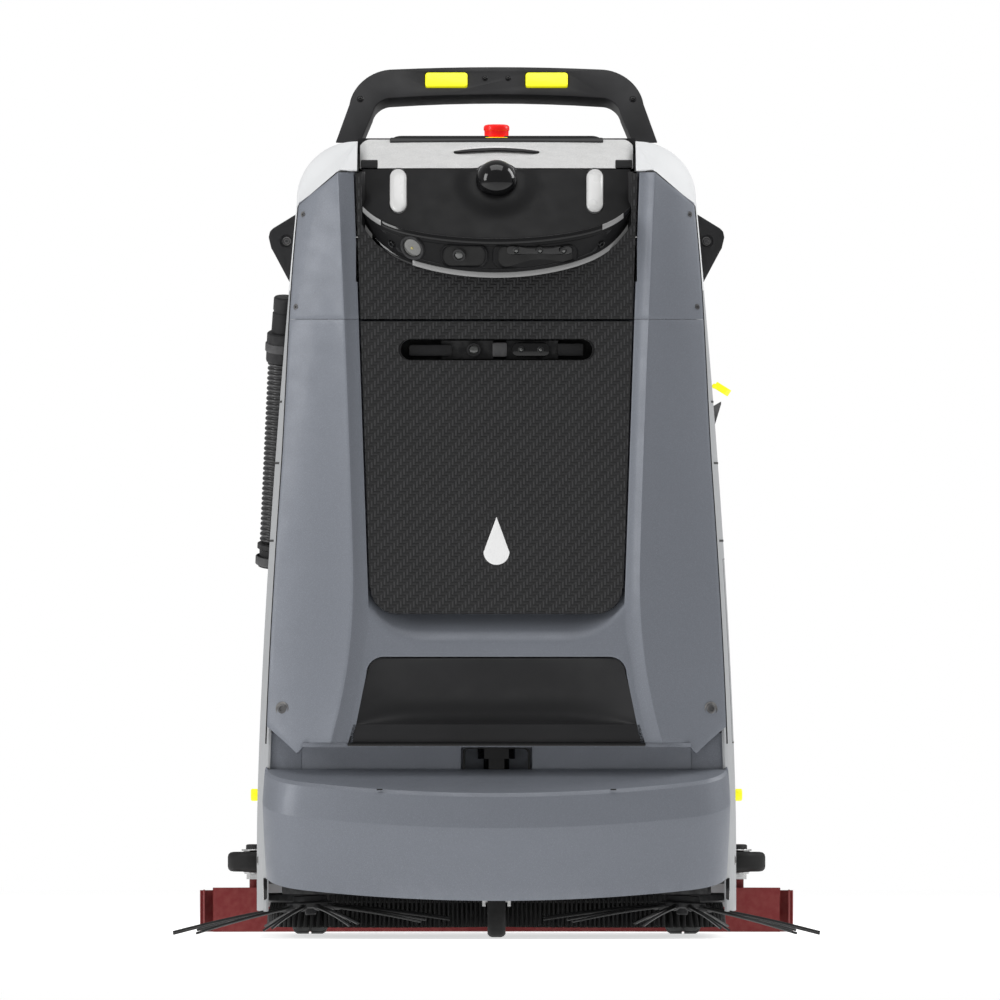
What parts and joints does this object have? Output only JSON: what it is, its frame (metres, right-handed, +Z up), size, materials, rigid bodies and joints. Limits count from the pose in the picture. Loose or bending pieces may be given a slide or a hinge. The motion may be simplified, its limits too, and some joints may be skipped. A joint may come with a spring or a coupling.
{
  "type": "robotic floor scrubber",
  "caption": "Self-driving floor scrubber with a push bar, side brushes, twin scrub discs, a hinged lid, bumper and a curved squeegee.",
  "frame": {"origin": "on the floor, under the middle of the machine's box", "axes": "+Z up, -Y towards the front and the bumper, +X to the right of someone who looks at the front"},
  "size_m": [0.999, 1.3082, 1.3499],
  "materials": {
    "shell_paint": "satin blue-grey paint",
    "white_cover": "fine-grained white plastic",
    "carbon_panel": "black panel with a woven carbon pattern",
    "black_plastic": "fine-grained black plastic",
    "black_gloss": "polished black plastic",
    "silver_lid": "metallic silver plastic",
    "lamp_lens": "milky diffuser",
    "light_strip": "grey diffuser",
    "stop_red": "red plastic",
    "signal_yellow": "yellow plastic",
    "screen_glass": "dark cover glass",
    "tank_plastic": "rotomoulded plastic",
    "frame_steel": "dark powder coat",
    "zinc_steel": "zinc-plated steel",
    "motor_alu": "cast aluminium",
    "hose_plastic": "ribbed dark grey hose",
    "squeegee_rubber": "dark red rubber",
    "wheel_rubber": "black rubber",
    "bristle": "black nylon bristles",
    "cap_blue": "blue plastic"
  },
  "bodies": {
    "root": {"chassis_frame": "frame_steel", "battery_pack": "black_plastic", "solution_tank": "tank_plastic", "recovery_tank": "tank_plastic", "control_box": "frame_steel", "vacuum_motor": "motor_alu", "drive_motors": "motor_alu", "sensor_bay": "shell_paint", "front_lidar": "black_gloss", "camera_modules": "black_plastic", "front_shell_lower": "shell_paint", "front_shell_upper": "shell_paint", "front_panel_lower": "carbon_panel", "front_panel_upper": "carbon_panel", "recess_trim": "black_plastic", "head_shell": "black_plastic", "head_face": "black_plastic", "sensor_bar": "black_plastic", "light_strips": "light_strip", "lidar_dome": "black_gloss", "signal_lamps": "lamp_lens", "shoulder_left": "white_cover", "shoulder_right": "white_cover", "side_cover_left": "white_cover", "side_cover_right": "white_cover", "rear_cover": "white_cover", "console": "black_plastic", "touchscreen": "screen_glass", "push_bar": "black_plastic", "side_sensors": "black_plastic", "latch_bracket": "black_plastic", "drain_hose": "hose_plastic", "hose_fittings": "black_plastic", "rear_ports": "black_plastic", "side_brush_motors": "black_plastic", "filler_cap": "cap_blue"},
    "bumper": {"bumper": "shell_paint"},
    "lid": {"top_lid": "silver_lid"},
    "stop_button": {"stop_button": "stop_red"},
    "trigger_left": {"trigger_left": "signal_yellow"},
    "trigger_right": {"trigger_right": "signal_yellow"},
    "latch": {"tank_latch": "signal_yellow"},
    "knob_left": {"knob_left": "signal_yellow"},
    "knob_right": {"knob_right": "signal_yellow"},
    "deck": {"brush_deck": "frame_steel", "brush_motors": "motor_alu"},
    "disc_left": {"disc_brush_left": "bristle"},
    "disc_right": {"disc_brush_right": "bristle"},
    "side_brush_left": {"side_brush_left": "bristle"},
    "side_brush_right": {"side_brush_right": "bristle"},
    "drive_wheel_left": {"drive_wheel_left": "wheel_rubber"},
    "drive_wheel_right": {"drive_wheel_right": "wheel_rubber"},
    "caster_fork": {"caster_fork": "zinc_steel"},
    "caster_wheel": {"caster_wheel": "wheel_rubber"},
    "squeegee_arm": {"squeegee_arm": "zinc_steel", "squeegee_carrier": "frame_steel", "suction_hose": "hose_plastic"},
    "squeegee": {"squeegee_head": "squeegee_rubber"},
    "roller_left": {"wall_roller_left": "wheel_rubber"},
    "roller_right": {"wall_roller_right": "wheel_rubber"}
  },
  "joints": [
    {"name": "bumper_press", "type": "slide", "parent": "root", "child": "bumper", "axis": [0, 1, 0], "range_m": [0, 0.004], "stiffness_N_per_m": 4000},
    {"name": "lid_hinge", "type": "hinge", "parent": "root", "child": "lid", "pos_m": [0, -0.232, 1.231], "axis": [-1, 0, 0], "range_deg": [0, 75]},
    {"name": "stop_press", "type": "slide", "parent": "root", "child": "stop_button", "axis": [0, 0, -1], "range_m": [0, 0.004], "stiffness_N_per_m": 800},
    {"name": "trigger_left_press", "type": "slide", "parent": "root", "child": "trigger_left", "axis": [0, 0.9063, -0.4226], "range_m": [0, 0.005], "stiffness_N_per_m": 500},
    {"name": "trigger_right_press", "type": "slide", "parent": "root", "child": "trigger_right", "axis": [0, 0.9063, -0.4226], "range_m": [0, 0.005], "stiffness_N_per_m": 500},
    {"name": "latch_hinge", "type": "hinge", "parent": "root", "child": "latch", "pos_m": [0.33844, 0.02, 0.853], "axis": [0, -1, 0], "range_deg": [0, 60]},
    {"name": "knob_left_turn", "type": "hinge", "parent": "root", "child": "knob_left", "pos_m": [-0.371, -0.15, 0.219], "axis": [1, 0, 0], "range_deg": [0, 90]},
    {"name": "knob_right_turn", "type": "hinge", "parent": "root", "child": "knob_right", "pos_m": [0.371, -0.15, 0.219], "axis": [1, 0, 0], "range_deg": [0, 90]},
    {"name": "deck_lift", "type": "slide", "parent": "root", "child": "deck", "axis": [0, 0, 1], "range_m": [-0.012, 0.03]},
    {"name": "disc_left_spin", "type": "hinge", "parent": "deck", "child": "disc_left", "pos_m": [-0.181, -0.06638, 0.05], "axis": [0, 0, 1], "continuous": true},
    {"name": "disc_right_spin", "type": "hinge", "parent": "deck", "child": "disc_right", "pos_m": [0.181, -0.06638, 0.05], "axis": [0, 0, 1], "continuous": true},
    {"name": "side_brush_left_spin", "type": "hinge", "parent": "root", "child": "side_brush_left", "pos_m": [-0.287, -0.45, 0.046], "axis": [-0.0523, 0, 0.9986], "continuous": true},
    {"name": "side_brush_right_spin", "type": "hinge", "parent": "root", "child": "side_brush_right", "pos_m": [0.287, -0.45, 0.046], "axis": [0.0523, 0, 0.9986], "continuous": true},
    {"name": "drive_left_roll", "type": "hinge", "parent": "root", "child": "drive_wheel_left", "pos_m": [-0.2905, 0.23162, 0.11], "axis": [1, 0, 0], "continuous": true},
    {"name": "drive_right_roll", "type": "hinge", "parent": "root", "child": "drive_wheel_right", "pos_m": [0.2905, 0.23162, 0.11], "axis": [1, 0, 0], "continuous": true},
    {"name": "caster_swivel", "type": "hinge", "parent": "root", "child": "caster_fork", "pos_m": [0, -0.34437, 0.15], "axis": [0, 0, 1], "continuous": true},
    {"name": "caster_roll", "type": "hinge", "parent": "caster_fork", "child": "caster_wheel", "pos_m": [0, -0.31638, 0.06], "axis": [1, 0, 0], "continuous": true},
    {"name": "squeegee_lift", "type": "hinge", "parent": "root", "child": "squeegee_arm", "pos_m": [0, 0.444, 0.168], "axis": [1, 0, 0], "range_deg": [0, 12], "deforming": ["suction_hose"]},
    {"name": "squeegee_swing", "type": "hinge", "parent": "squeegee_arm", "child": "squeegee", "pos_m": [0, 0.598, 0.13], "axis": [0, 0, 1], "range_deg": [-8, 8]},
    {"name": "roller_left_spin", "type": "hinge", "parent": "squeegee", "child": "roller_left", "pos_m": [-0.38, 0.58664, 0.1], "axis": [0, 0, 1], "continuous": true},
    {"name": "roller_right_spin", "type": "hinge", "parent": "squeegee", "child": "roller_right", "pos_m": [0.38, 0.58664, 0.1], "axis": [0, 0, 1], "continuous": true}
  ]
}
